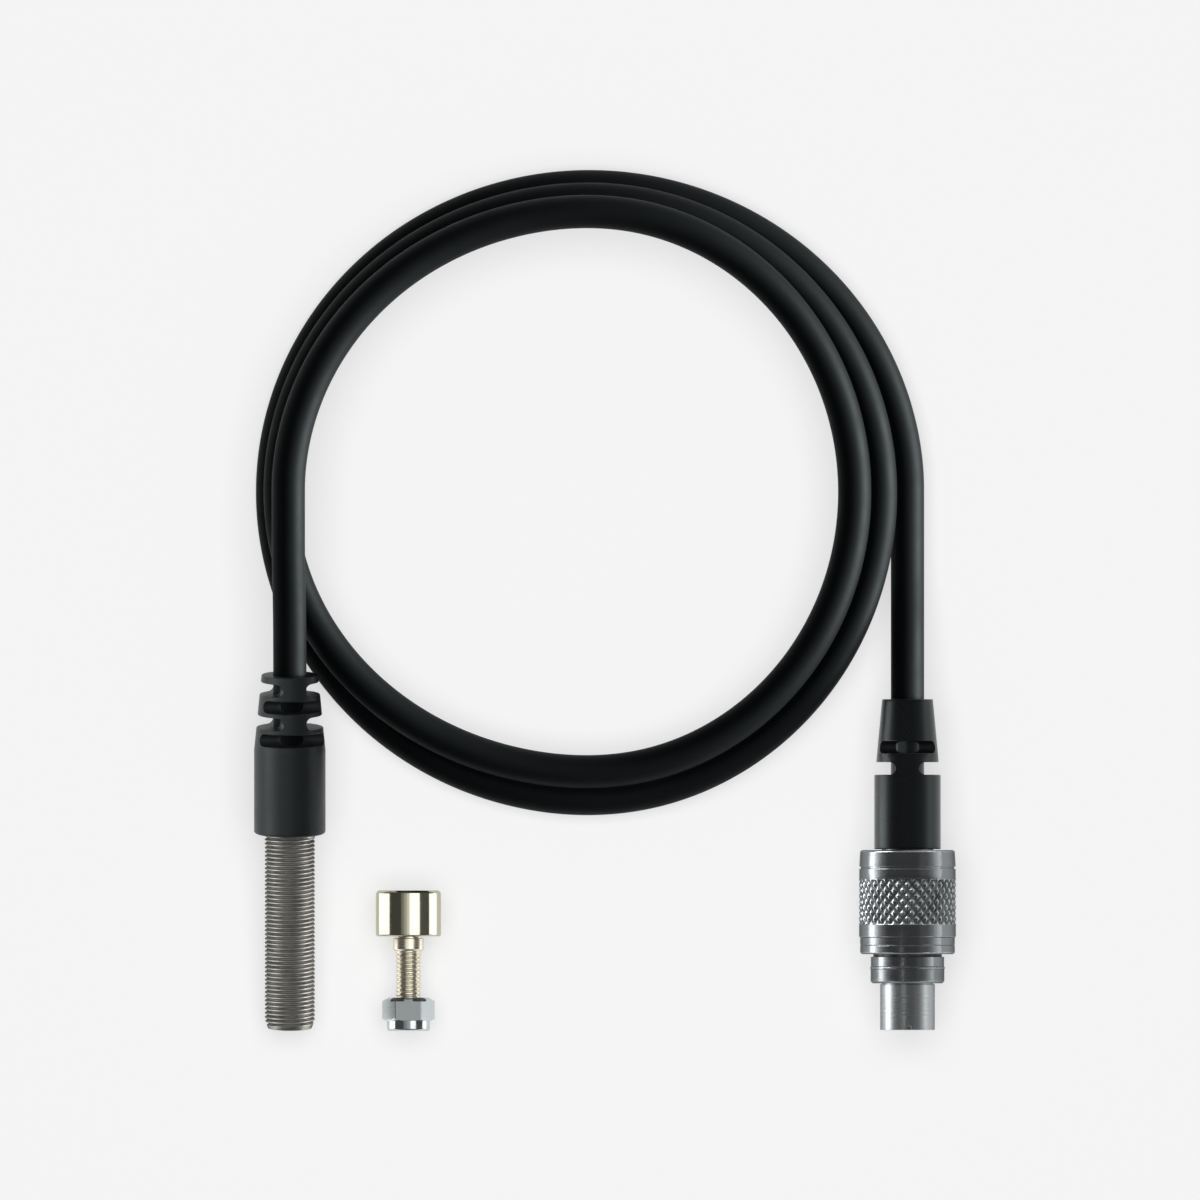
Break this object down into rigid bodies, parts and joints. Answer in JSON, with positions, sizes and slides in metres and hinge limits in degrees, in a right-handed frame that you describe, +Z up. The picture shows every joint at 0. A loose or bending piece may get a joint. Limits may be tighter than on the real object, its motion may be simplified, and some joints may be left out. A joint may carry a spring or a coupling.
{
  "type": "threaded magnetic pickup with lead",
  "caption": "Threaded magnetic pickup on a coiled lead that ends in a round plug with a knurled coupling ring, with a small magnet on a threaded stud and lock nut.",
  "frame": {"origin": "on the surface under the middle of the box round the pickup and the magnet, without the lead and plug", "axes": "+Z up from the surface, +Y from the pickup's tip towards the coil, +X from the pickup towards the plug"},
  "size_m": [0.0842, 0.1033, 0.0129],
  "materials": {
    "barrel_nickel": "nickel-plated turned thread",
    "sensing_plastic": "moulded, matt",
    "chip_epoxy": "moulded epoxy",
    "lead_tin": "tinned",
    "board_laminate": "solder mask over glass laminate",
    "component_body": "fired ceramic and resin",
    "potting_epoxy": "cast resin",
    "boot_black": "moulded, fine matt grain",
    "cable_jacket": "extruded, satin",
    "ferrule_brass": "crimped",
    "core_red": "extruded",
    "core_black": "extruded",
    "core_white": "extruded",
    "core_moulding": "moulded, natural",
    "plug_nickel": "nickel-plated, turned",
    "insert_black": "moulded",
    "pin_gold": "gold-plated",
    "seal_rubber": "moulded",
    "spring_steel": "oiled spring steel",
    "cup_nickel": "polished nickel",
    "magnet_face": "ground, nickel-plated",
    "stud_nickel": "nickel over brass, rolled thread",
    "nut_zinc": "zinc-plated, blue passivated",
    "nut_nylon": "moulded, natural"
  },
  "bodies": {
    "root": {"threaded_barrel": "barrel_nickel", "sensing_face": "sensing_plastic", "hall_sensor_chip": "chip_epoxy", "chip_leads": "lead_tin", "sensor_board": "board_laminate", "board_components": "component_body", "potting_resin": "potting_epoxy", "sensor_boot": "boot_black", "sensor_ferrule": "ferrule_brass", "sensor_wire_supply": "core_red", "sensor_wire_ground": "core_black", "sensor_wire_signal": "core_white", "cable_tail_sensor": "cable_jacket", "cable_lead_sensor": "cable_jacket", "cable_coil": "cable_jacket", "cable_lead_plug": "cable_jacket", "cable_tail_plug": "cable_jacket", "plug_boot": "boot_black", "plug_ferrule": "ferrule_brass", "plug_wire_supply": "core_red", "plug_wire_ground": "core_black", "plug_wire_signal": "core_white", "plug_core": "core_moulding", "plug_shell": "plug_nickel", "contact_insert": "insert_black", "contact_pins": "pin_gold", "spigot_seal": "seal_rubber"},
    "coupling_ring": {"coupling_ring": "plug_nickel", "ring_circlip": "spring_steel"},
    "magnet_target": {"magnet_cup": "cup_nickel", "magnet_disc": "magnet_face", "magnet_stud": "stud_nickel"},
    "nut_carrier": {"nut_insert": "nut_nylon"},
    "lock_nut": {"lock_nut": "nut_zinc"}
  },
  "joints": [
    {"name": "ring_turn", "type": "hinge", "parent": "root", "child": "coupling_ring", "pos_m": [0.0672, 0.0001, 0.00582], "axis": [0, -1, 0], "continuous": true},
    {"name": "magnet_lift", "type": "slide", "parent": "root", "child": "magnet_target", "axis": [0, 0, 1], "range_m": [0, 0.05]},
    {"name": "nut_travel", "type": "slide", "parent": "magnet_target", "child": "nut_carrier", "axis": [0, 1, 0], "range_m": [-0.0035, 0.005]},
    {"name": "nut_turn", "type": "hinge", "parent": "nut_carrier", "child": "lock_nut", "pos_m": [0.00731, -0.01761, 0.0039], "axis": [0, 1, 0], "range_deg": [-2525, 3605]}
  ],
  "couplings": [
    {"joint": "nut_turn", "follows": "nut_travel", "rad_per_m": 12566}
  ]
}
